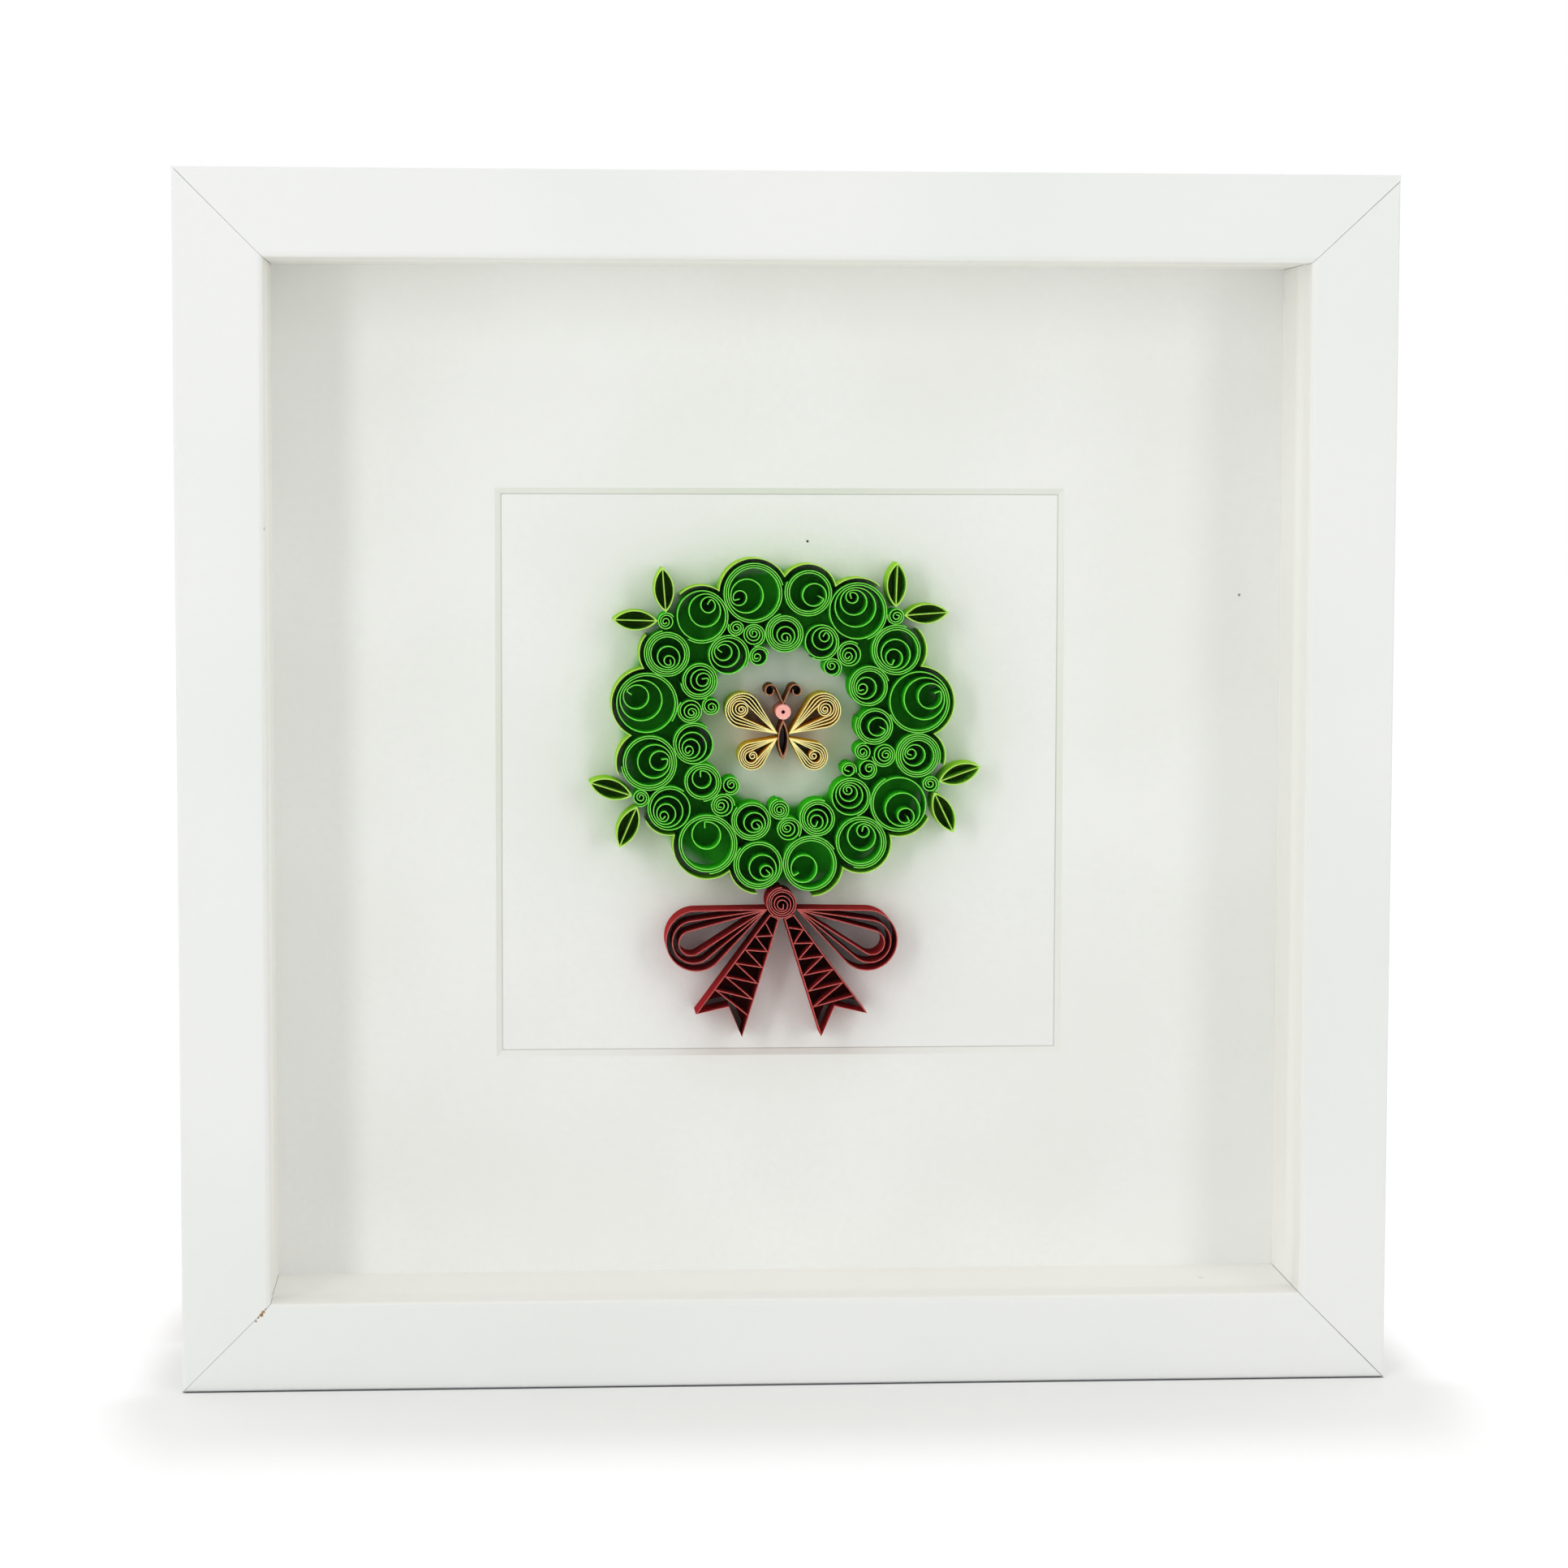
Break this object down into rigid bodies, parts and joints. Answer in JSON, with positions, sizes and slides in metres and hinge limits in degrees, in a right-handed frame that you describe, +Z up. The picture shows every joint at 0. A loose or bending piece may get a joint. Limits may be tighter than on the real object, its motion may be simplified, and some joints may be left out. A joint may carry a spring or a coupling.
{
  "type": "framed quilled paper art",
  "caption": "Square white box frame, deep enough for a quilled paper wreath with a bow and a butterfly on white card behind a bevelled mount and clear glazing.",
  "frame": {"origin": "on the surface that it stands on, at the middle of the frame's width and depth", "axes": "+Z up, the picture faces -Y, +X to the viewer's right"},
  "size_m": [0.25, 0.045, 0.25],
  "materials": {
    "frame_foil": "smooth white foil, satin",
    "spacer_foil": "smooth white foil, satin",
    "mat_board": "matt, faint grain, cream-white core at the bevel",
    "white_card": "matt",
    "clear_glazing": "clear, polished",
    "hardboard": "smooth pressed fibre",
    "steel": "zinc plated",
    "green_paper": "matt strip, cut edges a little lighter",
    "lime_paper": "matt strip, cut edges a little lighter",
    "red_paper": "matt strip, cut edges a little lighter",
    "yellow_paper": "matt strip, cut edges a little lighter",
    "pink_paper": "matt, wound tight",
    "brown_paper": "matt strip"
  },
  "bodies": {
    "root": {"back_board": "hardboard", "backing_card": "white_card", "bow_knot": "red_paper", "bow_loop_left": "red_paper", "bow_loop_right": "red_paper", "bow_tail_left": "red_paper", "bow_tail_right": "red_paper", "butterfly_body": "brown_paper", "butterfly_feelers": "brown_paper", "butterfly_head": "pink_paper", "corner_nails": "steel", "frame_rail_bottom": "frame_foil", "frame_rail_left": "frame_foil", "frame_rail_right": "frame_foil", "frame_rail_top": "frame_foil", "glazing": "clear_glazing", "hanger": "steel", "hanger_rivets": "steel", "hoops": "lime_paper", "inner_coil_01": "green_paper", "inner_coil_02": "green_paper", "inner_coil_03": "green_paper", "inner_coil_04": "green_paper", "inner_coil_05": "green_paper", "inner_coil_06": "green_paper", "inner_coil_07": "green_paper", "inner_coil_08": "green_paper", "inner_coil_09": "green_paper", "inner_coil_10": "green_paper", "inner_coil_11": "green_paper", "leaves": "lime_paper", "lower_wing_left": "yellow_paper", "lower_wing_right": "yellow_paper", "mat": "mat_board", "outer_coil_01": "green_paper", "outer_coil_02": "green_paper", "outer_coil_03": "green_paper", "outer_coil_04": "green_paper", "outer_coil_05": "green_paper", "outer_coil_06": "green_paper", "outer_coil_07": "green_paper", "outer_coil_08": "green_paper", "outer_coil_09": "green_paper", "outer_coil_10": "green_paper", "outer_coil_11": "green_paper", "outer_coil_12": "green_paper", "outer_coil_13": "green_paper", "outer_coil_14": "green_paper", "outer_coil_15": "green_paper", "outer_coil_16": "green_paper", "retaining_points": "steel", "small_coils": "green_paper", "spacer_bottom": "spacer_foil", "spacer_left": "spacer_foil", "spacer_right": "spacer_foil", "spacer_top": "spacer_foil", "tail_pleats_left": "red_paper", "tail_pleats_right": "red_paper", "upper_wing_left": "yellow_paper", "upper_wing_right": "yellow_paper"}
  },
  "joints": []
}
